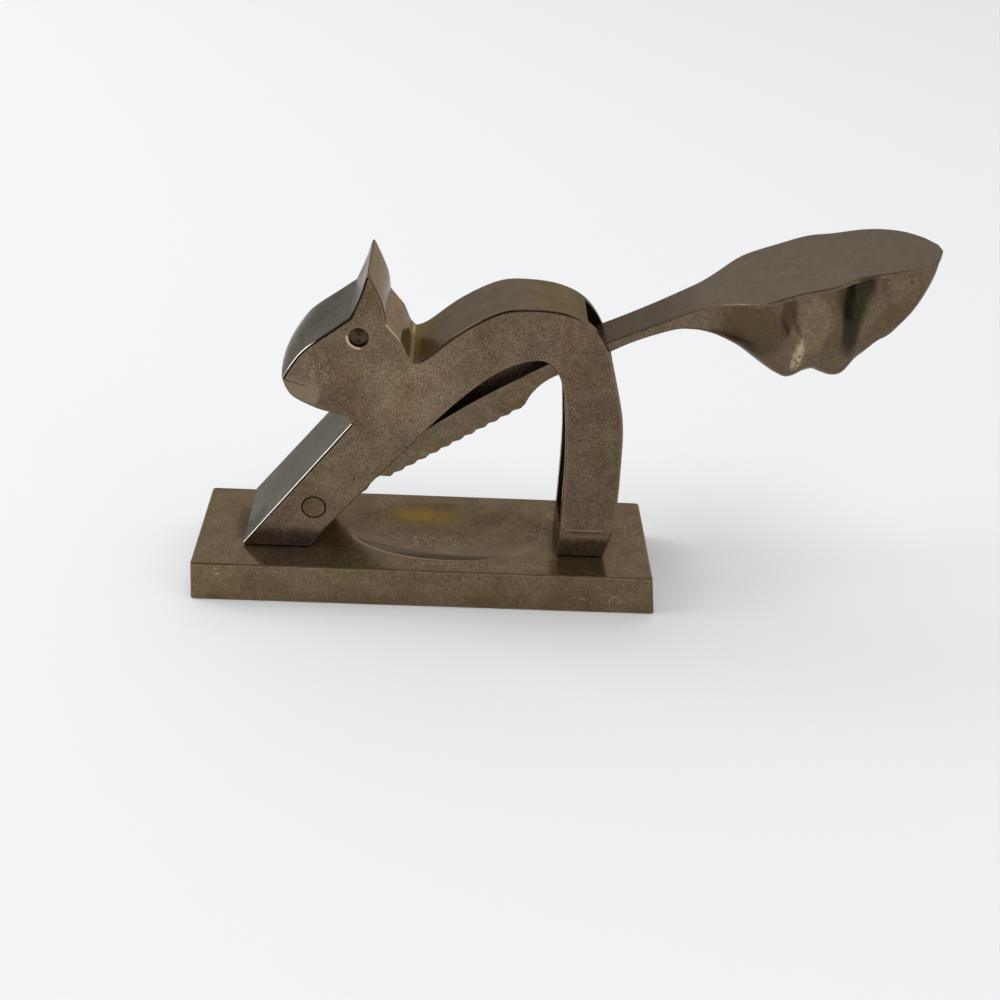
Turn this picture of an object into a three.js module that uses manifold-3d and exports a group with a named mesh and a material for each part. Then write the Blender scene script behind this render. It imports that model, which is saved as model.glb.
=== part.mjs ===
// A lever nutcracker press: a cast squirrel figure on a base plate, with its tail as the lever.
// Sizes are in millimetres. X runs from the nose to the tail, Y away from the near side, Z up.
// The origin is the centre of the base plate's underside.
import * as THREE from 'three';
import { mergeVertices } from 'three/addons/utils/BufferGeometryUtils.js';
import Module from 'manifold-3d';

const wasm = await Module();
wasm.setup();

// Driving dimensions of the whole
const GAP = 0.3;
const ROUND_SIDES = 32;

// The base plate: its sides lean in a little from the underside to the top
const BASE_LENGTH = 131.4;
const BASE_WIDTH = 42;
const BASE_HEIGHT = 11.8;
const BASE_TOP_LENGTH = 129.2;
const BASE_TOP_WIDTH = 41.2;
const BASE_TOP_SHIFT = -0.5;
const BASE_CORNER = 0.9;
const BASE_EDGE = 0.5;

// The oval hollow in the base plate, where the nut lies
const DISH = { x: 6.5, y: 0.7, length: 58, width: 30.8, depth: 3, rings: 7, sides: 56 };

// The figure: its near face is flat across Y, and its far face closes in towards the tail
const NEAR_FACE = -10.8;
const FAR_FACE_AT_ORIGIN = 13.6;
const FAR_FACE_TAPER = 0.124;
const SOLE = BASE_HEIGHT + GAP;
const BROW_CROWN = 1.8;
const BODY_SLICES = 6;

// The lever, and the slot that it swings in
const LEVER_WIDTH = 13.4;
const LEVER_MIDDLE = -1.7;
const SLOT_WIDTH = LEVER_WIDTH + 2 * GAP;
const FRONT_SLOT_FLOOR = 19.8;
const REAR_SLOT_FLOOR = 21;
const SLOT_END = 40.5;

// The pivot pin
const PIVOT = { x: -31.6, z: 25.4 };
const PIN_RADIUS = 3.1;
const BOSS_RADIUS = 5;

// The teeth of the jaw: the first tip, and the step from one tip to the next
const TOOTH_COUNT = 12;
const FIRST_TIP = { x: -10.3, z: 34.9 };
const TOOTH_STEP = { x: 3.17, z: 2.07 };
const TOOTH_RISE = { x: 1.0, z: 1.25 };

// The eye: a round recess in each cheek of the head
const EYE = { x: -19.1, z: 77.7, radius: 3.1, depth: 0.6 };

// The screws that hold the feet, from below
const SCREW = { shank: 2.4, head: 4.6, headDepth: 2.4, sunk: 0.4, driverWidth: 1.2, driverDepth: 1 };
const FRONT_SCREW = { x: -42, y: 4, top: 19 };
const REAR_SCREW = { x: 44.2, y: LEVER_MIDDLE, top: 18.6 };

const farFace = (x) => FAR_FACE_AT_ORIGIN - FAR_FACE_TAPER * x;

// Finishes
const metal = (color, roughness) => new THREE.MeshStandardMaterial({ color, roughness, metalness: 1 });
const castBrass = metal(0x7d6a50, 0.42);
const leverBrass = metal(0x7b6a55, 0.45);
const baseBrass = metal(0x84704f, 0.38);
const pinBrass = metal(0x75634a, 0.4);
const screwSteel = metal(0x8d8a84, 0.4);

// A closed mesh becomes a solid that can be joined and cut
function solid(geometry) {
  const bare = geometry.index ? geometry.toNonIndexed() : geometry.clone();
  bare.deleteAttribute('normal');
  bare.deleteAttribute('uv');
  const merged = mergeVertices(bare, 1e-4);
  return new wasm.Manifold(new wasm.Mesh({
    numProp: 3,
    vertProperties: new Float32Array(merged.attributes.position.array),
    triVerts: new Uint32Array(merged.index.array),
  }));
}

function geometryOf(body) {
  const mesh = body.getMesh();
  const geometry = new THREE.BufferGeometry();
  geometry.setAttribute('position', new THREE.BufferAttribute(new Float32Array(mesh.vertProperties), 3));
  geometry.setIndex(new THREE.BufferAttribute(new Uint32Array(mesh.triVerts), 1));
  geometry.computeVertexNormals();
  return geometry;
}

// A closed skin over a row of rings with equal numbers of points, with a fan over each end
function loft(rings) {
  const count = rings[0].length;
  const points = rings.flat();
  const index = [];
  for (let k = 0; k + 1 < rings.length; k += 1) {
    for (let i = 0; i < count; i += 1) {
      const a = k * count + i;
      const b = k * count + (i + 1) % count;
      index.push(a, b, b + count, a, b + count, a + count);
    }
  }
  const first = points.length;
  const last = first + 1;
  const tail = (rings.length - 1) * count;
  const middle = (ring) => ring.reduce((sum, p) => sum.add(p), new THREE.Vector3()).divideScalar(count);
  points.push(middle(rings[0]), middle(rings[rings.length - 1]));
  for (let i = 0; i < count; i += 1) {
    index.push(first, (i + 1) % count, i);
    index.push(last, tail + i, tail + (i + 1) % count);
  }
  const geometry = new THREE.BufferGeometry().setFromPoints(points);
  geometry.setIndex(index);
  return geometry;
}

// A side-view shape, drawn in X and Z, as a plate between two places along Y
function sidePlate(shape, fromY, toY, detail = 3) {
  const depth = toY - fromY;
  const geometry = new THREE.ExtrudeGeometry(shape, { depth, bevelEnabled: false, curveSegments: detail });
  geometry.rotateX(Math.PI / 2);
  geometry.translate(0, toY, 0);
  return geometry;
}

const at = (pairs) => pairs.map(([x, z]) => new THREE.Vector2(x, z));

// A straight round bar along Y
function barAlongY(radius, x, z, fromY, toY) {
  const geometry = new THREE.CylinderGeometry(radius, radius, toY - fromY, ROUND_SIDES);
  geometry.translate(x, (fromY + toY) / 2, z);
  return geometry;
}

// A smooth height over X through a few named points
function smooth(points) {
  const slope = (i) => {
    const a = points[Math.max(i - 1, 0)];
    const b = points[Math.min(i + 1, points.length - 1)];
    return (b[1] - a[1]) / (b[0] - a[0]);
  };
  return (x) => {
    let i = 0;
    while (i + 2 < points.length && x > points[i + 1][0]) i += 1;
    const [x0, y0] = points[i];
    const [x1, y1] = points[i + 1];
    const span = x1 - x0;
    const t = THREE.MathUtils.clamp((x - x0) / span, 0, 1);
    const a = y0 * (1 + 2 * t) * (1 - t) ** 2 + slope(i) * span * t * (1 - t) ** 2;
    const b = y1 * (3 - 2 * t) * t ** 2 - slope(i + 1) * span * t ** 2 * (1 - t);
    return a + b;
  };
}

// The base plate
function roundedRectangle(length, width, radius, z, shift) {
  const ring = [];
  const corners = [[1, -1], [1, 1], [-1, 1], [-1, -1]];
  const steps = 4;
  corners.forEach(([sx, sy], corner) => {
    for (let i = 0; i <= steps; i += 1) {
      const angle = (corner - 1 + i / steps) * Math.PI / 2;
      const x = shift + sx * (length / 2 - radius) + radius * Math.cos(angle);
      const y = sy * (width / 2 - radius) + radius * Math.sin(angle);
      ring.push(new THREE.Vector3(x, y, z));
    }
  });
  return ring;
}

function dishCutter() {
  const profile = [new THREE.Vector2(0, -DISH.depth)];
  for (let i = 1; i <= DISH.rings; i += 1) {
    const r = i / DISH.rings;
    profile.push(new THREE.Vector2(r * DISH.length / 2, -DISH.depth * (1 - r ** 2)));
  }
  const rim = DISH.length / 2 + DISH.depth;
  profile.push(new THREE.Vector2(rim, DISH.depth), new THREE.Vector2(0, DISH.depth));
  const geometry = new THREE.LatheGeometry(profile, DISH.sides);
  geometry.rotateX(Math.PI / 2);
  geometry.scale(1, DISH.width / DISH.length, 1);
  geometry.translate(DISH.x, DISH.y, BASE_HEIGHT);
  return solid(geometry);
}

// The hole for a screw, from the head's sunk seat to the tip of the shank
function screwHole(screw) {
  const seat = SCREW.sunk + SCREW.headDepth;
  const head = SCREW.head + GAP;
  const shank = SCREW.shank + GAP;
  const end = screw.top + GAP;
  const profile = [[0, -1], [head, -1], [head, SCREW.sunk], [shank, seat], [shank, end], [0, end]];
  const geometry = new THREE.LatheGeometry(at(profile), ROUND_SIDES);
  geometry.rotateX(Math.PI / 2);
  geometry.translate(screw.x, screw.y, 0);
  return solid(geometry);
}

function basePlate() {
  const lean = (z) => z / BASE_HEIGHT;
  const ring = (z, inset) => {
    const length = THREE.MathUtils.lerp(BASE_LENGTH, BASE_TOP_LENGTH, lean(z)) - 2 * inset;
    const width = THREE.MathUtils.lerp(BASE_WIDTH, BASE_TOP_WIDTH, lean(z)) - 2 * inset;
    return roundedRectangle(length, width, BASE_CORNER, z, BASE_TOP_SHIFT * lean(z));
  };
  const block = solid(loft([
    ring(0, BASE_EDGE),
    ring(BASE_EDGE, 0),
    ring(BASE_HEIGHT - BASE_EDGE, 0),
    ring(BASE_HEIGHT, BASE_EDGE),
  ]));
  return geometryOf(block
    .subtract(dishCutter())
    .subtract(screwHole(FRONT_SCREW))
    .subtract(screwHole(REAR_SCREW)));
}

// The figure's outline, seen from the near side
function figureOutline() {
  const shape = new THREE.Shape();
  shape.moveTo(-51.4, SOLE);
  shape.lineTo(-33.4, SOLE);
  // up the back of the front leg, under the belly and down the inside of the rear leg
  shape.splineThru(at([
    [-32.2, 12.9], [-27.4, 19.4], [-13.2, 36.6], [2.8, 55], [13.1, 65.3], [21.3, 70.9], [28.7, 72.9],
    [33, 70.3], [35.5, 64.1], [36.9, 52.9], [37.6, 40.4], [37.6, 24.2], [37.4, SOLE],
  ]));
  shape.lineTo(50.6, SOLE);
  // up the back of the rear leg, over the rump and along the back to the neck
  shape.splineThru(at([
    [52.3, 18.4], [53.2, 28.8], [53.1, 41.1], [52.4, 54.5], [49.8, 66.2], [46.6, 76.1], [41.6, 83.3],
    [34.9, 86.8], [26.4, 87.7], [17.6, 86.5], [7.5, 80.6], [-1.4, 72.9], [-4.7, 71.2],
  ]));
  // the fold behind the head and its step
  shape.splineThru(at([[-6.2, 72.5], [-7.1, 74.5], [-8.2, 77.1]]));
  shape.lineTo(-12, 81.5);
  // up the back of the ear to its tip, and down its front
  shape.splineThru(at([
    [-12.9, 87], [-16.2, 94.4], [-16.8, 94.9], [-17.3, 94.3], [-18.7, 89.8], [-21.4, 83.2],
  ]));
  // the brow down to the nose
  shape.splineThru(at([[-25.2, 80.2], [-33.1, 73.9], [-36.9, 69.1], [-39.3, 64.9]]));
  // under the chin to the throat, then straight down the leading face
  shape.splineThru(at([[-38.3, 62], [-36, 59.2], [-29.4, 56], [-22.2, 54.3], [-21.2, 52]]));
  shape.lineTo(-51.8, SOLE + 0.6);
  shape.lineTo(-51.4, SOLE);
  return shape;
}

// The space inside the figure, seen from the near side: round the boss, under the back and out at the rump
function slotOutline() {
  const shape = new THREE.Shape();
  const clear = BOSS_RADIUS + 1.5 * GAP;
  const lean = 0.62;
  const rump = 60;
  const above = 95;
  shape.moveTo(PIVOT.x, FRONT_SLOT_FLOOR);
  shape.lineTo(34, FRONT_SLOT_FLOOR);
  shape.lineTo(34, REAR_SLOT_FLOOR);
  shape.lineTo(rump, REAR_SLOT_FLOOR);
  shape.lineTo(rump, above);
  shape.lineTo(SLOT_END, above);
  shape.lineTo(SLOT_END, 81.4);
  shape.splineThru(at([[36, 83.2], [30, 84.2], [24, 83], [17, 79], [10, 71.5], [2, 61], [-8, 51]]));
  shape.lineTo(PIVOT.x - clear * Math.sin(lean), PIVOT.z + clear * Math.cos(lean));
  shape.absarc(PIVOT.x, PIVOT.z, clear, Math.PI / 2 + lean, 1.5 * Math.PI, false);
  return shape;
}

function eyeCutter(faceAt) {
  return solid(barAlongY(EYE.radius, EYE.x, EYE.z, faceAt - EYE.depth, faceAt + EYE.depth));
}

function squirrelBody() {
  const geometry = new THREE.ExtrudeGeometry(figureOutline(), {
    depth: 1,
    steps: BODY_SLICES,
    bevelEnabled: false,
    curveSegments: 4,
  });
  geometry.rotateX(Math.PI / 2);
  // spread the slices between the two faces, and crown the front of the head between them
  const place = geometry.attributes.position;
  const muzzle = new THREE.Vector2(-33, 67);
  for (let i = 0; i < place.count; i += 1) {
    const x = place.getX(i);
    const z = place.getZ(i);
    const nearness = -place.getY(i);
    const across = 4 * nearness * (1 - nearness);
    const reach = THREE.MathUtils.smoothstep(15 - muzzle.distanceTo(new THREE.Vector2(x, z)), 0, 15);
    const front = x < -20 && z > 55 ? 1 : 0;
    place.setX(i, x - BROW_CROWN * across * reach * front);
    place.setY(i, THREE.MathUtils.lerp(farFace(x), NEAR_FACE, nearness));
  }
  const slotFrom = LEVER_MIDDLE - SLOT_WIDTH / 2;
  const slotTo = LEVER_MIDDLE + SLOT_WIDTH / 2;
  const bore = barAlongY(PIN_RADIUS + GAP, PIVOT.x, PIVOT.z, NEAR_FACE - 5, farFace(PIVOT.x) + 5);
  return geometryOf(solid(geometry)
    .subtract(solid(sidePlate(slotOutline(), slotFrom, slotTo)))
    .subtract(solid(bore))
    .subtract(screwHole(FRONT_SCREW))
    .subtract(screwHole(REAR_SCREW))
    .subtract(eyeCutter(NEAR_FACE))
    .subtract(eyeCutter(farFace(EYE.x))));
}

// The jaw and the stem, seen from the near side
const STEM_CUT = 40;
function jawOutline() {
  const shape = new THREE.Shape();
  const lean = 0.58;
  shape.moveTo(PIVOT.x + BOSS_RADIUS * Math.sin(lean), PIVOT.z - BOSS_RADIUS * Math.cos(lean));
  shape.lineTo(-17, 30.2);
  shape.splineThru(at([[-15.3, 33.2], [-13.3, 34.9]]));
  // the teeth: a low tip, a steep rise and a long run down to the next tip
  for (let i = 0; i < TOOTH_COUNT; i += 1) {
    const x = FIRST_TIP.x + i * TOOTH_STEP.x;
    const z = FIRST_TIP.z + i * TOOTH_STEP.z;
    shape.lineTo(x, z);
    shape.lineTo(x + TOOTH_RISE.x, z + TOOTH_RISE.z);
  }
  shape.splineThru(at([[27, 61.9], [29.5, 65], [33, 67.6], [STEM_CUT, 71]]));
  shape.lineTo(STEM_CUT, 75.4);
  shape.splineThru(at([[30.4, 70.8], [13.3, 60.2], [5.4, 54.7], [-6, 46.4]]));
  shape.lineTo(PIVOT.x - BOSS_RADIUS * Math.sin(lean), PIVOT.z + BOSS_RADIUS * Math.cos(lean));
  shape.absarc(PIVOT.x, PIVOT.z, BOSS_RADIUS, Math.PI / 2 + lean, 1.5 * Math.PI + lean, false);
  return shape;
}

// The tail handle: a leaf with a flat top, and under it a full brush of three tufts
const TAIL_END = 131;
const LEAF_EDGE = 1.3;
const RING_STEP = 1.8;
const tailTop = smooth([
  [38, 74.4], [45, 77.6], [52.6, 81.2], [60.6, 85.1], [68.6, 89.1], [76.6, 92.7], [84.6, 95.7], [92.6, 98.7],
  [100.6, 101.2], [108.6, 103.4], [119, 105.2], [TAIL_END, 106],
]);
const tailHalfWidth = smooth([
  [38, 6.65], [52.6, 6.7], [60.6, 7.1], [68.6, 7.9], [72.6, 9.1], [76.6, 11.7], [80.6, 15], [84.6, 17.1],
  [92.6, 17.4], [100.6, 18.1], [107, 16], [116, 15.4], [124, 12.6], [128.5, 8], [TAIL_END, 2.5],
]);
const tailDepth = smooth([
  [38, 4.8], [45, 3.6], [52.6, 2.9], [60.6, 3.4], [64.6, 4.3], [68.6, 6.5], [72.6, 9.3], [76.6, 12.5],
  [81, 16.5], [85, 21], [89, 25.5], [92, 28.5], [95.5, 31], [98.5, 30], [101.5, 30], [104.5, 32],
  [107.5, 33.7], [110, 33.5], [112.5, 30], [115.5, 28], [118.5, 25.5], [121.5, 23.5], [124.5, 19],
  [128, 11.5], [TAIL_END, 4],
]);
// how far the brush stands back under the edge of the leaf, and how square its section is
const tailRecess = smooth([[38, 0], [66, 0], [74, 0.4], [84, 1.4], [92, 1.8], [TAIL_END, 0.6]]);
const tailSquareness = smooth([[38, 12], [60, 12], [70, 5], [80, 2.7], [92, 2.3], [TAIL_END, 2.2]]);

// The relief of the brush: lines that run down its side, each at a place along X for how far down it is
const tuftBorder = (down) => 83.4 + 22 * down - 11 * down ** 2;
const grooveLine = (down) => 89.1 + 10.5 * Math.min(down, 0.45) + 7.5 * Math.max(down - 0.45, 0);
const creaseLine = (down) => 96.9 + 17.2 * down;
const hollowLine = (down) => 107.5 + 9 * down;
const lastTuftLine = (down) => 119 + 5 * down;
const step = THREE.MathUtils.smoothstep;
const ridge = (off, width) => Math.exp(-((off / width) ** 2));

// How far the side of the brush stands out at a place, against its plain section
function tailRelief(x, down) {
  const fromGroove = x - grooveLine(down);
  const fromCrease = x - creaseLine(down);
  const facet = -1.1 * step(x - tuftBorder(down), 0, 1.2) * (1 - step(fromGroove, 0, 1.4));
  const grooveWidth = 0.5 + 1.3 * Math.max(1 - (down / 0.48) ** 2, 0);
  const groove = -2.6 * (1 - step(down, 0.38, 0.52)) * ridge(fromGroove, grooveWidth);
  const rib = 0.9 * step(down, 0.4, 0.55) * ridge(fromGroove, 1.3);
  const fall = -2.4 * step(fromCrease, 0, 6) * (1 - step(x - hollowLine(down), 4, 9));
  const hollow = -3.4 * ridge(x - hollowLine(down), 3.6);
  const last = -2 * ridge(x - lastTuftLine(down), 1.8);
  return facet + groove + rib + fall + hollow + last;
}

function tailSection(x) {
  const steps = 12;
  const lip = Math.min(LEAF_EDGE, tailDepth(x) * 0.4);
  const top = tailTop(x);
  const half = tailHalfWidth(x);
  const drop = tailDepth(x) - lip;
  const wide = half - tailRecess(x);
  const power = 2 / tailSquareness(x);
  const side = [[0, top - lip - drop]];
  for (let i = 1; i <= steps; i += 1) {
    const angle = (i / steps) * Math.PI / 2;
    const down = Math.cos(angle) ** power;
    const out = wide * Math.sin(angle) ** power;
    const relief = tailRelief(x, down) * Math.sin(angle) * Math.min(1, out / 6);
    side.push([Math.max(out + relief, 0.3), top - lip - drop * down]);
  }
  side.push([half, top - lip * 0.75], [half - 0.25, top], [half * 0.5, top - 0.05]);
  const ring = side.map(([y, z]) => new THREE.Vector3(x, LEVER_MIDDLE + y, z));
  ring.push(new THREE.Vector3(x, LEVER_MIDDLE, top));
  for (let i = side.length - 1; i > 0; i -= 1) {
    ring.push(new THREE.Vector3(x, LEVER_MIDDLE - side[i][0], side[i][1]));
  }
  return ring;
}

function tailLever() {
  const from = LEVER_MIDDLE - LEVER_WIDTH / 2;
  const to = LEVER_MIDDLE + LEVER_WIDTH / 2;
  const rings = [];
  for (let x = STEM_CUT - 1; x < TAIL_END - 6; x += RING_STEP) rings.push(tailSection(x));
  for (const short of [4.6, 3.2, 2, 1, 0.4, 0]) rings.push(tailSection(TAIL_END - short));
  const bore = barAlongY(PIN_RADIUS + GAP, PIVOT.x, PIVOT.z, from - 5, to + 5);
  return geometryOf(solid(sidePlate(jawOutline(), from, to)).add(solid(loft(rings))).subtract(solid(bore)));
}

// The pin is flush with both faces of the figure
function pivotPin() {
  const geometry = barAlongY(PIN_RADIUS, PIVOT.x, PIVOT.z, NEAR_FACE, farFace(PIVOT.x));
  const place = geometry.attributes.position;
  for (let i = 0; i < place.count; i += 1) {
    if (place.getY(i) > 0) place.setY(i, farFace(place.getX(i)));
  }
  return geometryOf(solid(geometry));
}

function footScrew(screw) {
  const seat = SCREW.sunk + SCREW.headDepth;
  const profile = [
    [0, SCREW.sunk], [SCREW.head, SCREW.sunk], [SCREW.head, SCREW.sunk + GAP], [SCREW.shank, seat],
    [SCREW.shank, screw.top - 1], [SCREW.shank - 0.8, screw.top], [0, screw.top],
  ];
  const body = new THREE.LatheGeometry(at(profile), ROUND_SIDES);
  body.rotateX(Math.PI / 2);
  const driver = new THREE.BoxGeometry(3 * SCREW.head, SCREW.driverWidth, 2 * SCREW.driverDepth);
  driver.translate(0, 0, SCREW.sunk);
  const geometry = geometryOf(solid(body).subtract(solid(driver)));
  geometry.translate(screw.x, screw.y, 0);
  return geometry;
}

function named(name, geometry, material) {
  const mesh = new THREE.Mesh(geometry, material);
  mesh.name = name;
  return mesh;
}

const press = new THREE.Group();
press.add(
  named('base_plate', basePlate(), baseBrass),
  named('squirrel_body', squirrelBody(), castBrass),
  named('tail_lever', tailLever(), leverBrass),
  named('pivot_pin', pivotPin(), pinBrass),
  named('front_foot_screw', footScrew(FRONT_SCREW), screwSteel),
  named('rear_foot_screw', footScrew(REAR_SCREW), screwSteel),
);

export default press;
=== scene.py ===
"""The looks of a cast brass squirrel nutcracker: its surfaces, edges and light."""
import math

import bmesh
import bpy
from mathutils import Matrix, Vector


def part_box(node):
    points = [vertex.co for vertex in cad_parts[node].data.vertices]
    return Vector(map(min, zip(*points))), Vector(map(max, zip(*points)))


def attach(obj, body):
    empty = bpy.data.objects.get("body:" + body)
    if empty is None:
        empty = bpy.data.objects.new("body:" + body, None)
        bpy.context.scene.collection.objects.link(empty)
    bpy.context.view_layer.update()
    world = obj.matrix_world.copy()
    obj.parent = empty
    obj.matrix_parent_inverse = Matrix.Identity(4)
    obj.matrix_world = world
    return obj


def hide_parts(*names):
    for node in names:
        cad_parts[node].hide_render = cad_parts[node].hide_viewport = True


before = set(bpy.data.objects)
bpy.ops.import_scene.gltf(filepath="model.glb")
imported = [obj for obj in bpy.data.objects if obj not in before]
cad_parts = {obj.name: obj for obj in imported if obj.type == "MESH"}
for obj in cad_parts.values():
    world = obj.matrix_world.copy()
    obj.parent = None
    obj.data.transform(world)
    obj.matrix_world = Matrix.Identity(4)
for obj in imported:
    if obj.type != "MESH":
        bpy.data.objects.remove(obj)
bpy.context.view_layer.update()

# Places and sizes are in millimetres, but for the stage and the light. MM turns them into metres
MM = 0.001

# Where the camera stood for the photograph, and how it was turned, in radians
CAMERA_PLACE = Vector((4.57, -344.5, 232.35)) * MM
CAMERA_YAW = 0.0470
CAMERA_PITCH = 0.5446
CAMERA_ROLL = 0.0614
CAMERA_LENS = 50.4


def make_camera():
    data = bpy.data.cameras.new("camera")
    data.sensor_width = 36
    data.lens = CAMERA_LENS
    data.clip_start = 0.01
    camera = bpy.data.objects.new("camera", data)
    bpy.context.scene.collection.objects.link(camera)
    yaw, pitch, roll = CAMERA_YAW, CAMERA_PITCH, CAMERA_ROLL
    forward = Vector((math.sin(yaw) * math.cos(pitch), math.cos(yaw) * math.cos(pitch), -math.sin(pitch)))
    level = Vector((math.cos(yaw), -math.sin(yaw), 0))
    upward = level.cross(forward)
    right = math.cos(roll) * level + math.sin(roll) * upward
    up = math.cos(roll) * upward - math.sin(roll) * level
    turn = Matrix((right, up, -forward)).transposed().to_4x4()
    camera.matrix_world = Matrix.Translation(CAMERA_PLACE) @ turn
    bpy.context.scene.camera = camera


# Materials
def tint(code):
    """A colour written as an sRGB hex code, in Blender's linear values."""
    parts = [int(code[i:i + 2], 16) / 255 for i in (0, 2, 4)]
    linear = [p / 12.92 if p <= 0.04045 else ((p + 0.055) / 1.055) ** 2.4 for p in parts]
    return (*linear, 1.0)


# Metal under a film of tarnish, which keeps it from turning white where it is seen at a low angle
METALLIC = 0.68
ROUGHNESS = 0.2
POLISHED_METALLIC = 0.85
EDGE_TINT = (0.34, 0.3, 0.26, 1)
BASE_EDGE_TINT = (0.75, 0.68, 0.58, 1)
SPECULAR = 0.3


class Nodes:
    """The node tree of a material or a world, with a short call for each kind of node."""

    def __init__(self, owner):
        owner.use_nodes = True
        self.tree = owner.node_tree
        self.tree.nodes.clear()

    def node(self, kind, **settings):
        made = self.tree.nodes.new(kind)
        for name, value in settings.items():
            setattr(made, name, value)
        return made

    def feed(self, socket, value):
        if isinstance(value, bpy.types.NodeSocket):
            self.tree.links.new(value, socket)
        else:
            socket.default_value = value

    def math(self, operation, a, b=0.0, clamp=False):
        made = self.node("ShaderNodeMath", operation=operation, use_clamp=clamp)
        self.feed(made.inputs[0], a)
        self.feed(made.inputs[1], b)
        return made.outputs[0]

    def times(self, product, *factors):
        for factor in factors:
            product = self.math("MULTIPLY", product, factor)
        return product

    def parts(self, vector):
        made = self.node("ShaderNodeSeparateXYZ")
        self.feed(made.inputs[0], vector)
        return made.outputs

    def between(self, value, low, high, out_low=0.0, out_high=1.0):
        """out_low below low, out_high above high, and smooth between them. low may be above high."""
        made = self.node("ShaderNodeMapRange", interpolation_type="SMOOTHSTEP")
        self.feed(made.inputs["Value"], value)
        if low > high:
            low, high, out_low, out_high = high, low, out_high, out_low
        limits = {"From Min": low, "From Max": high, "To Min": out_low, "To Max": out_high}
        for name, number in limits.items():
            self.feed(made.inputs[name], number)
        return made.outputs["Result"]

    def end(self, kind, shader):
        """Links a shader to an output node of the given kind."""
        self.tree.links.new(shader.outputs[0], self.node(kind).inputs["Surface"])


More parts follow.
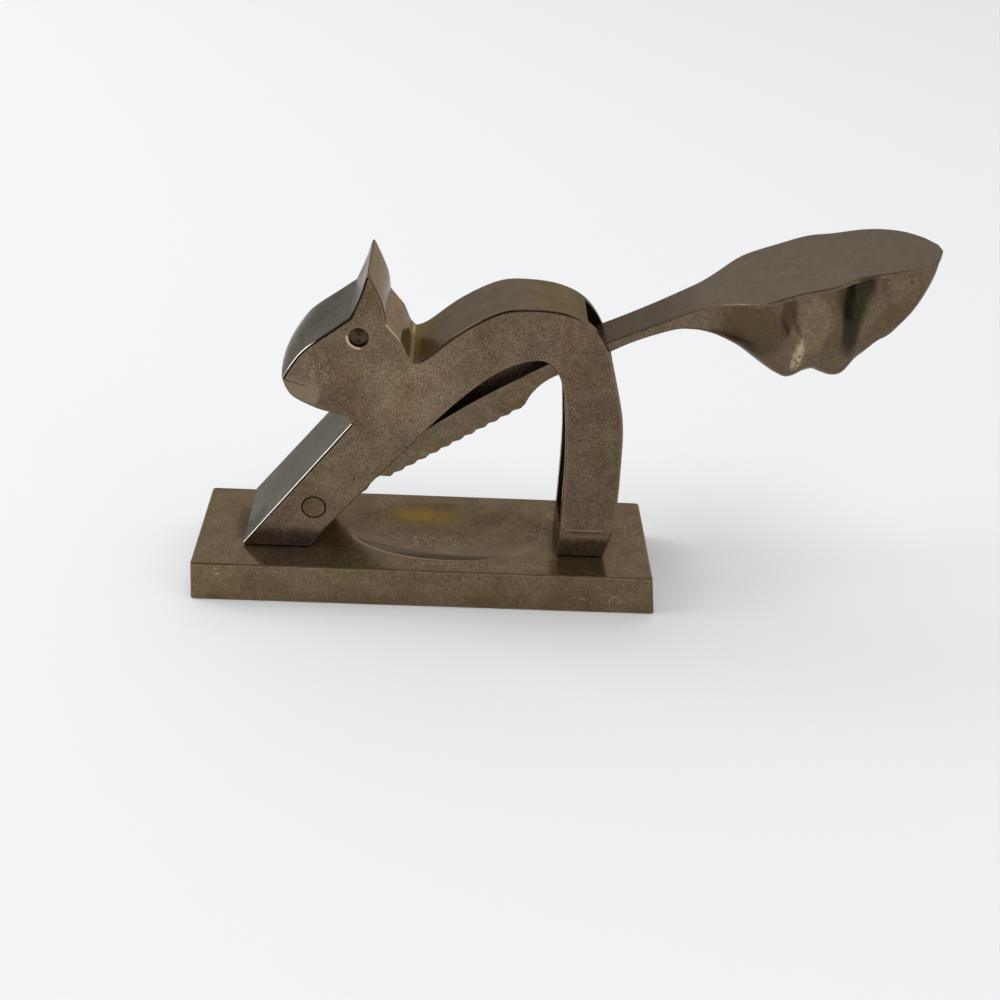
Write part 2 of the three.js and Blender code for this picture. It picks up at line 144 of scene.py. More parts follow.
class Shader(Nodes):
    """A material's nodes, with its coordinates, and calls for its grains, marks and surface."""

    def __init__(self, name):
        self.material = bpy.data.materials.new(name)
        super().__init__(self.material)
        coordinates = self.node("ShaderNodeTexCoord")
        self.place = coordinates.outputs["Object"]
        self.x, self.y, self.z = self.parts(self.place)
        self.nx, self.ny, self.nz = self.parts(coordinates.outputs["Normal"])
        self.metallic = METALLIC
        self.rough = ROUGHNESS

    def past(self, along, low, high, out_low=0.0, out_high=1.0):
        """The same as between, for a length with its low and high in millimetres."""
        return self.between(along, low * MM, high * MM, out_low, out_high)

    def stretched(self, sizes, turn):
        """Coordinates for marks of the given sizes, turned before they are stretched."""
        made = self.node("ShaderNodeMapping", vector_type="TEXTURE")
        self.feed(made.inputs["Vector"], self.place)
        self.feed(made.inputs["Scale"], tuple(size * MM for size in sizes))
        self.feed(made.inputs["Rotation"], turn)
        return made.outputs[0]

    def shifted(self, shift):
        """Coordinates moved by a few metres, so that two grains of one kind don't fall together."""
        made = self.node("ShaderNodeMapping")
        self.feed(made.inputs["Vector"], self.place)
        self.feed(made.inputs["Location"], shift)
        return made.outputs[0]

    def grain(self, scale, detail=4.0, rough=0.6, vector=None, distort=0.0):
        made = self.node("ShaderNodeTexNoise")
        self.feed(made.inputs["Vector"], vector or self.place)
        self.feed(made.inputs["Scale"], scale)
        self.feed(made.inputs["Detail"], detail)
        self.feed(made.inputs["Roughness"], rough)
        self.feed(made.inputs["Distortion"], distort)
        return made.outputs["Fac"]

    def spot(self, centre, radii, soft):
        """1 inside an ellipsoid about a place, fading to 0 at its edge."""
        made = self.node("ShaderNodeMapping")
        self.feed(made.inputs["Vector"], self.place)
        self.feed(made.inputs["Scale"], tuple(1 / (r * MM) for r in radii))
        self.feed(made.inputs["Location"], tuple(-c / r for c, r in zip(centre, radii)))
        return self.near_middle(made.outputs[0], soft)

    def stroke(self, centre, length, width, turn=(0, 0, 0)):
        """1 along a thin straight mark about a place, fading to 0 at its edge."""
        made = self.node("ShaderNodeMapping", vector_type="TEXTURE")
        self.feed(made.inputs["Vector"], self.place)
        self.feed(made.inputs["Location"], tuple(c * MM for c in centre))
        self.feed(made.inputs["Rotation"], turn)
        self.feed(made.inputs["Scale"], (length / 2 * MM, width / 2 * MM, width / 2 * MM))
        return self.near_middle(made.outputs[0], 0.5)

    def near_middle(self, vector, soft):
        """1 for a short vector and 0 for one longer than 1, with a soft step before 1."""
        reach = self.node("ShaderNodeVectorMath", operation="LENGTH")
        self.feed(reach.inputs[0], vector)
        return self.between(reach.outputs["Value"], 1.0, 1.0 - soft)

    def scribble(self, scale, shift):
        """Thin wandering marks."""
        grain = self.grain(scale, 2, 0.6, vector=self.shifted(shift), distort=1.5)
        return self.between(self.math("ABSOLUTE", self.math("SUBTRACT", grain, 0.5)), 0.016, 0.006)

    def mix(self, factor, a, b):
        made = self.node("ShaderNodeMix", data_type="RGBA", blend_type="MIX")
        self.feed(made.inputs[0], factor)
        self.feed(made.inputs[6], a)
        self.feed(made.inputs[7], b)
        return made.outputs[2]

    def shade(self, colour, value, low, high, at_low, at_high):
        """A colour times one number where a value is low and times another where it is high."""
        made = self.node("ShaderNodeVectorMath", operation="SCALE")
        self.feed(made.inputs[0], colour[:3] if isinstance(colour, tuple) else colour)
        self.feed(made.inputs["Scale"], self.between(value, low, high, at_low, at_high))
        return made.outputs[0]

    def scaled(self, colour, amount, *masks):
        """A colour times an amount where all the masks are 1."""
        return self.shade(colour, self.times(*masks), 0, 1, 1.0, amount)

    def painted(self, colour, paint, amount, *masks):
        """A colour with a share of another one laid over it where all the masks are 1."""
        return self.mix(self.times(*masks, amount), colour, paint)

    def bump(self, height, distance, strength, under=None):
        made = self.node("ShaderNodeBump")
        self.feed(made.inputs["Height"], height)
        self.feed(made.inputs["Distance"], distance)
        self.feed(made.inputs["Strength"], strength)
        if under is not None:
            self.feed(made.inputs["Normal"], under)
        return made.outputs["Normal"]

    def surface(self, colour, normal, edge_tint=EDGE_TINT):
        shader = self.node("ShaderNodeBsdfPrincipled")
        self.feed(shader.inputs["Base Color"], colour)
        self.feed(shader.inputs["Roughness"], self.rough)
        self.feed(shader.inputs["Normal"], normal)
        self.feed(shader.inputs["Metallic"], self.metallic)
        shader.inputs["Specular Tint"].default_value = edge_tint
        shader.inputs["Specular IOR Level"].default_value = SPECULAR
        self.end("ShaderNodeOutputMaterial", shader)
        return self.material


def old_brass(name, main, olive, warm, roughness=ROUGHNESS, sandy=1.0, marks=(), edge_tint=EDGE_TINT):
    """Cast brass with clouds of tarnish, a sandy grain, small pits, pale flecks and fine scratches."""
    s = Shader(name)
    clouds = s.grain(75, distort=0.6)
    drift = s.grain(48, 4, 0.65, vector=s.shifted((3, 1, 7)), distort=0.9)
    colour = s.mix(s.between(clouds, 0.4, 0.62, 0.0, 0.8), tint(main), tint(olive))
    colour = s.mix(s.between(drift, 0.47, 0.68, 0.0, 0.8), colour, tint(warm))
    broad = s.grain(110, 3, vector=s.shifted((5, 2, 2)), distort=0.8)
    sand = s.grain(560, 3, 0.7, vector=s.shifted((2, 8, 5)))
    fine = s.grain(2300, 2, 0.7)
    for grain, low, high, darker, lighter in (
        (broad, 0.36, 0.64, 0.11, 0.11),
        (sand, 0.34, 0.66, 0.09, 0.1),
        (fine, 0.38, 0.62, 0.31, 0.36),
    ):
        colour = s.shade(colour, grain, low, high, 1 - darker * sandy, 1 + lighter * sandy)
    pits = s.between(s.grain(620, 2, 0.5, vector=s.shifted((1, 5, 2))), 0.72, 0.77)
    colour = s.painted(colour, tint("1a140d"), 0.75, pits)
    flecks = s.between(s.grain(1000, 2, 0.55, vector=s.shifted((9, 2, 4))), 0.73, 0.78)
    colour = s.painted(colour, tint("b8a88c"), 0.5, flecks)
    for turn, sizes in ((0.35, (26, 5, 0.3)), (-0.9, (16, 4, 0.24)), (1.35, (12, 4, 0.24))):
        hair = s.grain(1.0, 2, 0.5, vector=s.stretched(sizes, (0.1, turn, 0.3)))
        colour = s.mix(s.between(hair, 0.7, 0.76, 0.0, 0.22), colour, tint("c2b294"))
    s.rough = s.math("ADD", s.between(clouds, 0.35, 0.7, roughness - 0.04, roughness + 0.05),
                     s.between(sand, 0.35, 0.65, -0.02, 0.05))
    for mark in marks:
        colour = mark(s, colour)
    normal = s.bump(s.grain(95, 2, 0.5), 0.1 * MM, 0.6)
    height = s.math("SUBTRACT", s.math("ADD", s.times(sand, 0.7), s.times(fine, 0.3)), pits)
    normal = s.bump(height, 0.02 * MM, 0.7, under=normal)
    return s.surface(colour, normal, edge_tint)


def steel(name):
    s = Shader(name)
    rings = s.grain(900, 3)
    colour = s.mix(s.between(rings, 0.3, 0.7), tint("77736b"), tint("9a968d"))
    s.rough = s.between(rings, 0.3, 0.7, 0.28, 0.42)
    return s.surface(colour, s.bump(rings, 0.01 * MM, 0.6))


# The radius of a spot that goes through the whole figure, from side to side
THROUGH = 60


# Marks, with painted light and painted shade among them. Each function takes a material's nodes and its
# colour, and gives the marked colour
def mottled(s, colour):
    """A colour with the small clouds of a worn, smooth place."""
    return s.shade(colour, s.grain(240), 0.35, 0.65, 0.88, 1.12)


def scattered(s, colour, paint, amount, mask, soft, spots):
    """Paint laid where a mask is 1, within each of some spots."""
    for place, radii in spots:
        colour = s.painted(colour, paint, amount, s.spot(place, radii, soft), mask)
    return colour


def sides_with_painted_shade(s, colour):
    """The side of the figure is lighter at the neck and darker on the rear leg, with painted shade under
    the throat and a painted reflection of the base over the feet.
    """
    # Lighter neck, painted shade under the throat, darker rear leg, painted reflection of the base over
    # both feet
    for (x, z), (wide, high), soft, amount in (
        ((-5, 63), (24, 20), 0.9, 1.28),
        ((-25, 59), (9, 7), 0.8, 0.86),
        ((46, 50), (19, 42), 0.6, 0.84),
        ((-42, 15), (16, 11), 0.7, 0.86),
        ((44, 17), (12, 9), 0.7, 0.86),
    ):
        colour = s.scaled(colour, amount, s.spot((x, NEAR_FACE, z), (wide, THROUGH, high), soft))
    return colour


def top_of_back(s, colour):
    """The top of the back is smoother and greyer, and turns golden at the rump."""
    grey = s.mix(s.past(s.x, 20, 36), tint("6a6155"), tint("756746"))
    grey = s.shade(grey, s.x, 12 * MM, 4 * MM, 1.0, 1.12)
    return s.painted(colour, mottled(s, grey), 0.75, s.between(s.nz, 0.35, 0.6), s.past(s.x, -10, -5))


def back_of_head(s, colour):
    """The fold behind the head is golden with a pale bottom, and the head above it is tan."""
    fold = s.spot((-3.6, 0, 74), (6, THROUGH, 5.5), 0.4)
    gold = s.mix(s.past(s.x, -5.4, -6), tint("75613d"), tint("8f794e"))
    colour = s.painted(colour, gold, 0.85, fold, s.between(s.math("ABSOLUTE", s.ny), 0.8, 0.5))
    colour = s.mix(s.spot((-5.3, 0, 71.6), (0.8, THROUGH, 1.2), 0.5), colour, tint("b5a07a"))
    behind = s.times(s.between(s.nx, 0.3, 0.5), s.past(s.z, 76.3, 77.3), s.past(s.x, -7, -8))
    tan = s.mix(s.past(s.z, 86, 93), tint("a1866a"), tint("8c7546"))
    return s.painted(colour, mottled(s, tan), 0.9, behind)


# The looks of the front faces and edges set in between these two places along X
FRONT_FADE = (-12, -16)


def painted_reflection_on_front_faces(s, colour):
    """A painted reflection makes the faces that look forward grey, lighter low down and warmer at the far
    side, with painted highlights at the throat; these faces are polished, and duller at the toe.
    """
    front = s.times(s.between(s.nx, -0.35, -0.6), s.past(s.x, *FRONT_FADE), s.between(s.nz, -0.1, 0.1))
    # A painted reflection: grey, lighter low down, warmer at the far side, with painted highlights at the
    # throat
    grey = s.mix(s.between(s.grain(70, 3, 0.5), 0.35, 0.65), tint("6e6e69"), tint("7a7973"))
    grey = s.shade(grey, s.grain(420), 0.35, 0.65, 0.93, 1.07)
    grey = s.shade(grey, s.z, 62 * MM, 50 * MM, 1.0, 1.1)
    grey = s.painted(grey, tint("736759"), 0.4, s.past(s.y, 10, 22))
    throat = s.spot((-24, -20, 49), (6, 7, 7), 0.8)
    grey = s.painted(grey, tint("aaa79f"), 0.5, throat, s.between(s.grain(520, 3), 0.5, 0.6))
    s.metallic = s.between(front, 0, 1, METALLIC, POLISHED_METALLIC)
    s.rough = s.math("ADD", s.rough, s.times(front, s.past(s.z, 30, 14, 0.0, 0.22)))
    return s.mix(front, colour, grey)


def muzzle(s, colour):
    """The muzzle is rubbed, and pale specks lie on the cheek behind it."""
    rubbed = s.times(s.spot((-36.5, NEAR_FACE, 61), (7.5, THROUGH, 6.6), 0.15), s.past(s.z, 67, 62.5))
    colour = s.painted(colour, tint("8c7c67"), 0.65, rubbed, s.between(s.nz, 0.5, 0.2))
    specks = s.between(s.grain(2100, 1, 0.5), 0.6, 0.68)
    cheek = s.spot((-29.8, NEAR_FACE, 68), (6.5, 4, 6.5), 0.8)
    return s.painted(colour, tint("b9a78c"), 0.65, cheek, specks)


def painted_lines_on_rear_leg(s, colour):
    """A painted dark reflection line between two painted highlight lines, across the rear leg above its
    foot.
    """
    # Painted highlight lines above and below a painted dark reflection line
    for height, code in ((20.9, "8f7e69"), (20.1, "3a2e22"), (18.9, "857460")):
        colour = s.painted(colour, tint(code), 0.6, s.stroke((45, NEAR_FACE, height), 16, 0.7))
    return colour


def painted_highlights_on_figure_edges(s, colour):
    """Painted highlights on the front edges beside a painted dark reflection line, a painted highlight on
    the edge behind the head and a painted dark reflection line along the back.
    """
    aside = s.math("ABSOLUTE", s.ny)
    upward = s.between(s.nz, -0.02, 0.05)
    front = s.times(s.between(s.nx, -0.04, -0.16), upward, s.past(s.x, *FRONT_FADE))
    # Painted highlights and painted dark reflection lines on the rounded edges
    bright = s.mix(s.past(s.z, 74, 76.5), tint("b2aea6"), tint("1c1814"))
    bright = s.mix(s.past(s.z, 83.5, 86), bright, tint("6d6a64"))
    colour = s.mix(front, colour, bright)
    colour = s.mix(s.times(front, s.between(aside, 0.62, 0.7)), colour, tint("090705"))
    behind = s.times(s.between(s.nx, 0.04, 0.16), s.past(s.z, 71, 72.5), s.past(s.x, -4.5, -5.5))
    pale = s.mix(s.past(s.z, 81, 84), tint("cdbd9b"), tint("54452f"))
    colour = s.mix(s.times(behind, s.between(aside, 0.7, 0.55)), colour, pale)
    back = s.times(upward, s.past(s.x, -4.5, -2), s.past(s.x, 42, 32))
    return s.painted(colour, tint("1d160f"), 0.85, back, s.between(aside, 0.35, 0.5))


def painted_reflection_on_base_edge(s, colour):
    """A painted dark reflection line along the front of the top, beside the pale worn edge."""
    front = s.times(s.between(s.ny, -0.05, -0.15), s.between(s.nz, 0.5, 0.68))
    # A painted dark reflection line on the front of the top edge
    return s.painted(colour, tint("19130d"), 0.75, front)


def painted_light_and_shadow_on_base(s, colour):
    """Painted light makes the top a little lighter and the near side more so, and painted shadow lies round
    the feet.
    """
    colour = s.scaled(colour, 1.05, s.between(s.nz, 0.8, 0.95))
    # Painted shadow round the front foot, the rear foot and the front toe
    for place, radii, amount in (
        ((-43, 1, 12), (15, 16, 3), 0.64),
        ((44.2, -1, 12), (12, 14, 3), 0.72),
        ((-53, 2, 12), (2.6, 12, 3), 0.75),
    ):
        colour = s.scaled(colour, amount, s.spot(place, radii, 0.5))
    # Painted light on the near side
    return s.scaled(colour, 1.24, s.between(s.ny, -0.6, -0.9))


def within_dish(s, wider):
    """1 inside the rim of the nut hollow, widened by some amount."""
    return s.spot((*DISH, BASE_HEIGHT), (DISH_HALF.x + wider, DISH_HALF.y + wider, 6), 0.02)


def nut_hollow(s, colour):
    """Painted shade in a dark crescent inside the front of the rim, a painted highlight on the lip before
    it, a darker patch and gold at the back, and pitting.
    """
    inside = within_dish(s, -0.2)
    across = s.math("ADD", s.y, s.times(s.x, 0.19))
    # Painted shade inside the front of the rim
    painted_shade_crescent = s.times(inside, s.past(across, -7.7, -8.2), s.past(s.x, 20, 6))
    colour = s.painted(colour, tint("41361f"), 0.85, painted_shade_crescent)
    # A painted highlight along the front of the rim's lip
    lip = s.math("SUBTRACT", within_dish(s, 0.5), inside, clamp=True)
    colour = s.painted(colour, tint("a39279"), 0.5, lip, s.past(s.y, -2, -6), s.past(s.x, 14, 0))
    colour = s.scaled(colour, 0.72, s.spot((18, 9.5, 10.6), (9, 4.5, 4), 0.8))
    clouds = s.between(s.grain(420, 4, 0.7), 0.3, 0.58)
    for place, radii, amount, code in (
        ((0.5, 10.3, 10.6), (21, 5.8, 4), 0.75, "6f5c2c"),
        ((-2.5, 10.9, 10.6), (14, 4.2, 4), 0.7, "8c6c30"),
    ):
        colour = s.painted(colour, tint(code), amount, s.spot(place, radii, 0.8), clouds)
    pits = s.between(s.grain(1500, 3), 0.52, 0.62)
    for place, radii, amount in (((32, 2, 11.8), (11, 11, 5), 0.8), ((8, 0, 10), (25, 9, 5), 0.45)):
        colour = s.painted(colour, tint("201810"), amount, s.spot(place, radii, 0.9), pits)
    return colour


def wear_of_base(s, colour):
    """Pale specks on the top and in the hollow, and wandering marks and scratches towards the ends."""
    specks = s.between(s.grain(1350, 2, vector=s.shifted((4, 4, 1))), 0.56, 0.64)
    spots = (((14, -16.8, 12), (30, 3, 3)), ((2, -1, 10), (22, 7, 5)))
    colour = scattered(s, colour, tint("ac9b80"), 0.45, specks, 0.7, spots)
    worn = s.scribble(260, (2, 2, 6))
    spots = (((-57, -21, 9.5), (8, 4, 3)), ((50, -21, 5), (13, 4, 6)), ((60, 3, 12), (5, 10, 3)))
    colour = scattered(s, colour, tint("b9aa8f"), 0.4, worn, 0.8, spots)
    for place, length, turn in (((59.5, 7.5, 12), 9, 1.2), ((57.5, -3, 12), 7, 0.9)):
        colour = s.painted(colour, tint("a5947a"), 0.4, s.stroke(place, length, 0.5, (0, 0, turn)))
    return colour


def top_of_leaf(s, colour):
    """The top of the leaf is greyer, with streaks along it, and it is darker near the figure."""
    streaks = s.grain(1.0, 3, vector=s.stretched((14, 0.7, 4), (0, -0.42, 0)))
    grey = s.shade(tint("6c6157"), streaks, 0.35, 0.65, 0.97, 1.03)
    grey = s.shade(grey, s.grain(320, 4, 0.65), 0.35, 0.65, 0.93, 1.07)
    colour = s.painted(colour, grey, 0.8, s.between(s.nz, 0.55, 0.8), s.past(s.x, 42, 50))
    colour = s.scaled(colour, 0.68, s.past(s.x, 76, 56), s.between(s.nz, 0.3, 0.7))
    spots = (((66.5, -5, 88.5), (2.5, 3, 3)), ((86, 4, 97), (6, 5, 3)), ((52.5, -2, 81.5), (2.5, 3, 3)))
    return scattered(s, colour, tint("2f271e"), 0.5, s.scribble(420, (1, 7, 2)), 0.7, spots)


def brush_tones_and_painted_light(s, colour):
    """The side of the brush: a darker olive tuft and a reddish groove, with painted light on the hump,
    painted shade past the crease and in the hollow, and a painted highlight on the ridge beside a painted
    dark line.
    """
    side = s.between(s.nz, 0.5, 0.2)
    # Darker tuft, painted light on the hump, painted shade past the crease, painted shade in the hollow
    for place, radii, soft, amount in (
        ((81, -17, 84), (12, 9, 12), 0.4, 0.66),
        ((98, -16, 89), (4.5, 9, 11), 0.4, 1.25),
        ((104, -14, 84), (4.5, 9, 10), 0.7, 0.8),
        ((109.3, -14, 93), (5.6, 9, 19), 0.5, 0.25),
    ):
        colour = s.scaled(colour, amount, s.spot(place, radii, soft), side)
    tuft = s.spot((80, -17, 85), (13, 9, 13), 0.4)
    colour = s.painted(colour, tint("54452a"), 0.45, tuft, side)
    groove = s.spot((90.7, -16.5, 91), (2.6, 7, 8), 0.45)
    colour = s.painted(colour, tint("4f3c30"), 0.85, groove, side)
    # A painted highlight along the ridge
    ridge_highlight = s.spot((95.2, -14, 79.2), (1.7, 7, 7.5), 0.5)
    colour = s.painted(colour, tint("c7b391"), 0.8, ridge_highlight, s.between(s.grain(900, 3), 0.3, 0.6))
    # A painted dark line of shade beside the ridge
    return s.mix(s.spot((95.7, -14, 79.6), (0.32, 6, 0.6), 0.4), colour, tint("0c0907"))


def eye_rings(s, colour):
    """The eye has a dark, ringed middle, painted shade in the lower half of its groove, and a soft ring
    with a painted highlight on its lower left edge.
    """
    def disc(radius):
        return s.spot((EYE.x, 0, EYE.y), (radius, 1000, radius), 0.08)

    def ring(outer, inner):
        return s.math("SUBTRACT", disc(outer), disc(inner), clamp=True)

    colour = s.mix(disc(2.62), tint("786751"), colour)
    # Painted shade in the lower half of the groove
    groove = s.times(ring(2.9, 2.4), s.past(s.z, EYE.y - 0.3, EYE.y - 1.3))
    colour = s.painted(colour, tint("0d0a07"), 0.85, groove)
    # A painted highlight on the lower left of the soft ring
    aslant = s.math("ADD", s.math("SUBTRACT", s.x, EYE.x * MM), s.math("SUBTRACT", s.z, EYE.y * MM))
    return s.painted(colour, tint("cdc0aa"), 0.75, ring(3.5, 2.85), s.past(aslant, -2.2, -3))


FIGURE_MARKS = (sides_with_painted_shade, top_of_back, back_of_head, painted_reflection_on_front_faces, muzzle, painted_lines_on_rear_leg)
BASE_MARKS = (painted_light_and_shadow_on_base, nut_hollow, wear_of_base)
LEVER_MARKS = (top_of_leaf, brush_tones_and_painted_light)
WORN_EDGE = ("85745b", "7b6b4c", "6a5a44")


# Outlines and meshes
POINT_SPACING = 0.8


def run_through(points):
    """A smooth run through points, the first and last included, as close-set (x, z) vectors."""
    if len(points) == 2:
        return [Vector(p) for p in points]
    run = []
    last = len(points) - 1
    for i in range(last):
        a, b, c, d = (Vector(points[min(max(k, 0), last)]) for k in (i - 1, i, i + 1, i + 2))
        steps = max(2, round((c - b).length / POINT_SPACING))
        slope_b, slope_c = (c - a) / 2, (d - b) / 2
        for k in range(steps):
            t = k / steps
            run.append(b * (1 + 2 * t) * (1 - t) ** 2 + slope_b * t * (1 - t) ** 2
                       + c * (3 - 2 * t) * t ** 2 - slope_c * t ** 2 * (1 - t))
    run.append(Vector(points[last]))
    return run


def outline_of(*runs):
    """One closed outline from runs that follow each other. Each run starts where the last one ended."""
    outline = []
    for run in runs:
        smooth = run_through(run if not outline else [tuple(outline[-1]), *run])
        outline.extend(smooth[1:] if outline else smooth)
    if (outline[0] - outline[-1]).length < 0.01:
        outline.pop()
    return outline


def arc(centre, radius, start, end, steps=24):
    """Points on an arc, from one angle to another in radians."""
    angles = (start + (end - start) * k / steps for k in range(steps + 1))
    return [Vector((centre[0] + radius * math.cos(a), centre[1] + radius * math.sin(a))) for a in angles]


def circle(centre, radius, sides=64):
    return arc(centre, radius, 0, 2 * math.pi * (sides - 1) / sides, sides - 1)


def height_over(points):
    """A smooth height over x through a few (x, height) pairs."""
    def slope(i):
        a, b = points[max(i - 1, 0)], points[min(i + 1, len(points) - 1)]
        return (b[1] - a[1]) / (b[0] - a[0])

    def height(x):
        i = 0
        while i + 2 < len(points) and x > points[i + 1][0]:
            i += 1
        (x0, y0), (x1, y1) = points[i], points[i + 1]
        span = x1 - x0
        t = min(max((x - x0) / span, 0), 1)
        start = y0 * (1 + 2 * t) * (1 - t) ** 2 + slope(i) * span * t * (1 - t) ** 2
        return start + y1 * (3 - 2 * t) * t ** 2 - slope(i + 1) * span * t ** 2 * (1 - t)
    return height


def smoothstep(value, low, high):
    t = min(max((value - low) / (high - low), 0), 1)
    return t * t * (3 - 2 * t)


# What keeps an inset point near a sharp corner, and how many times folds are looked for
SHARPEST_CORNER = 0.15
FOLD_ROUNDS = 6


def inset(outline, amount):
    """A closed outline moved inwards by an amount. Where that would fold it, its points run together."""
    count = len(outline)
    area = sum(outline[i - 1].cross(outline[i]) for i in range(count))
    side = math.copysign(amount, area)
    moved = []
    for i, here in enumerate(outline):
        before = (here - outline[i - 1]).normalized()
        after = (outline[(i + 1) % count] - here).normalized()
        inward = Vector((-before.y - after.y, before.x + after.x))
        moved.append(here + inward * side / max(1 + before.dot(after), SHARPEST_CORNER))
    for _ in range(FOLD_ROUNDS):
        for i in range(count):
            k = (i + 1) % count
            if (moved[k] - moved[i]).dot(outline[k] - outline[i]) < 0:
                middle = (moved[i] + moved[k]) / 2
                moved[i], moved[k] = middle, middle.copy()
    return moved


def skin(rings, materials=None):
    """A closed skin over a row of rings with equal numbers of points. materials gives each band's slot."""
    bm = bmesh.new()
    rows = [[bm.verts.new(Vector(p) * MM) for p in ring] for ring in rings]
    count = len(rings[0])
    for band, (here, there) in enumerate(zip(rows, rows[1:])):
        for i in range(count):
            k = (i + 1) % count
            face = bm.faces.new((here[i], here[k], there[k], there[i]))
            face.material_index = materials[band] if materials else 0
    bm.faces.new(rows[0][::-1])
    bm.faces.new(rows[-1])
    bmesh.ops.remove_doubles(bm, verts=bm.verts[:], dist=0.001 * MM)
    bmesh.ops.dissolve_degenerate(bm, dist=0.0005 * MM, edges=bm.edges[:])
    bmesh.ops.recalc_face_normals(bm, faces=bm.faces[:])
    return bm


# The material slots of a piece: its faces, its rounded edges, the inside of its cuts, its eyes and mouth
FACES, EDGES, INSIDE, EYES = range(4)
ROUND_STEPS = 4


def rounding(radius):
    """The steps of a rounded edge: how far in from the side, and how far from the face."""
    angles = [k / ROUND_STEPS * math.pi / 2 for k in range(ROUND_STEPS + 1)]
    return [(radius * (1 - math.sin(angle)), radius * (1 - math.cos(angle))) for angle in angles]


def rounded_plate(outline, near, far, radius, slices=1, crown=None):
    """A plate between two faces along Y, near(x) and far(x), with rounded edges."""
    rings = []
    bands = []

    def add(points, y_at, band):
        ring = [Vector((p.x, y_at(p.x), p.y)) for p in points]
        rings.append([crown(p) for p in ring] if crown else ring)
        bands.append(band)

    for inward, depth in rounding(radius):
        add(inset(outline, inward), lambda x: near(x) + depth, EDGES)
    bands[-1] = FACES
    for k in range(1, slices):
        add(outline, lambda x: near(x) + radius + (far(x) - near(x) - 2 * radius) * k / slices, FACES)
    for inward, depth in reversed(rounding(radius)):
        add(inset(outline, inward), lambda x: far(x) - depth, EDGES)
    return skin(rings, bands[:-1])


def new_object(name, bm, materials=()):
    mesh = bpy.data.meshes.new(name)
    bm.to_mesh(mesh)
    bm.free()
    for material in materials:
        mesh.materials.append(material)
    made = bpy.data.objects.new(name, mesh)
    bpy.context.scene.collection.objects.link(made)
    return made


def cut(target, cutter, slot, operation="DIFFERENCE"):
    """Cuts target with cutter, or joins them, and takes cutter away. New faces get the given slot."""
    for material in target.data.materials:
        cutter.data.materials.append(material)
    for face in cutter.data.polygons:
        face.material_index = slot
    modifier = target.modifiers.new("cut", "BOOLEAN")
    modifier.object = cutter
    modifier.operation = operation
    modifier.solver = "EXACT"
    graph = bpy.context.evaluated_depsgraph_get()
    mesh = bpy.data.meshes.new_from_object(target.evaluated_get(graph))
    target.modifiers.clear()
    target.data = mesh
    bpy.data.objects.remove(cutter)


SHARP_ANGLE = math.radians(32)


def finished(made, body, node):
    """Shades a piece smooth between its sharp edges, hangs it on its body and hides the CAD node it stands
    for.
    """
    made.data.shade_smooth()
    made.data.set_sharp_from_angle(angle=SHARP_ANGLE)
    modifier = made.modifiers.new("even", "WEIGHTED_NORMAL")
    modifier.keep_sharp = True
    modifier.weight = 80
    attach(made, body)
    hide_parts(node)


def bar_along_y(ring, from_y, to_y):
    """A bar whose section is a ring of (x, z) points."""
    return new_object("bar", skin([[(p.x, y, p.y) for p in ring] for y in (from_y, to_y)]))


def turned_up(profile, x, y):
    """A solid turned about an upright line. profile has (radius, z) pairs from the bottom to the top."""
    rings = [[(x + p.x, y + p.y, z) for p in circle((0, 0), radius, 48)] for radius, z in profile]
    return new_object("turned", skin(rings))


# Sizes read from the frame
base_low, base_high = (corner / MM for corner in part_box("base_plate"))
figure_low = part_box("squirrel_body")[0] / MM
pin_low, pin_high = (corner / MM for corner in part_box("pivot_pin"))
BASE_HEIGHT = base_high.z
NEAR_FACE = figure_low.y
SOLE = figure_low.z
PIVOT = Vector(((pin_low.x + pin_high.x) / 2, (pin_low.z + pin_high.z) / 2))
PIN_RADIUS = (pin_high.x - pin_low.x) / 2
TAIL_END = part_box("tail_lever")[1].x / MM

# Sizes that the figure and the lever share. The room between a moving part and what is round it is GAP
GAP = 0.3
LEVER_MIDDLE = -1.7
LEVER_WIDTH = 13.4
LEVER_NEAR = LEVER_MIDDLE - LEVER_WIDTH / 2
LEVER_FAR = LEVER_MIDDLE + LEVER_WIDTH / 2
BOSS_RADIUS = 5

# How far a cutter goes past the faces that it cuts through
OVERRUN = 5

# The figure's near face is straight, and its far face closes in towards the tail
FAR_FACE_AT_ORIGIN = 13.6
FAR_FACE_TAPER = 0.124


def near_face(x):
    return NEAR_FACE


def far_face(x):
    return FAR_FACE_AT_ORIGIN - FAR_FACE_TAPER * x


# The screws' sizes and places, and the heights at which their holes start, narrow and end
SCREW_HEAD = 4.6
SCREW_SHANK = 2.4
SCREW_SEAT = 2.8
FRONT_SCREW = (-42, 4)
REAR_SCREW = (44.2, LEVER_MIDDLE)
HOLE_START = -1
HEAD_RIM = 0.4
BASE_HOLE_TOP = 20
FRONT_HOLE_TOP = 19.3
REAR_HOLE_TOP = 18.9


def screw_hole(place, top):
    head, shank = SCREW_HEAD + GAP, SCREW_SHANK + GAP
    return turned_up([(head, HOLE_START), (head, HEAD_RIM), (shank, SCREW_SEAT), (shank, top)], *place)


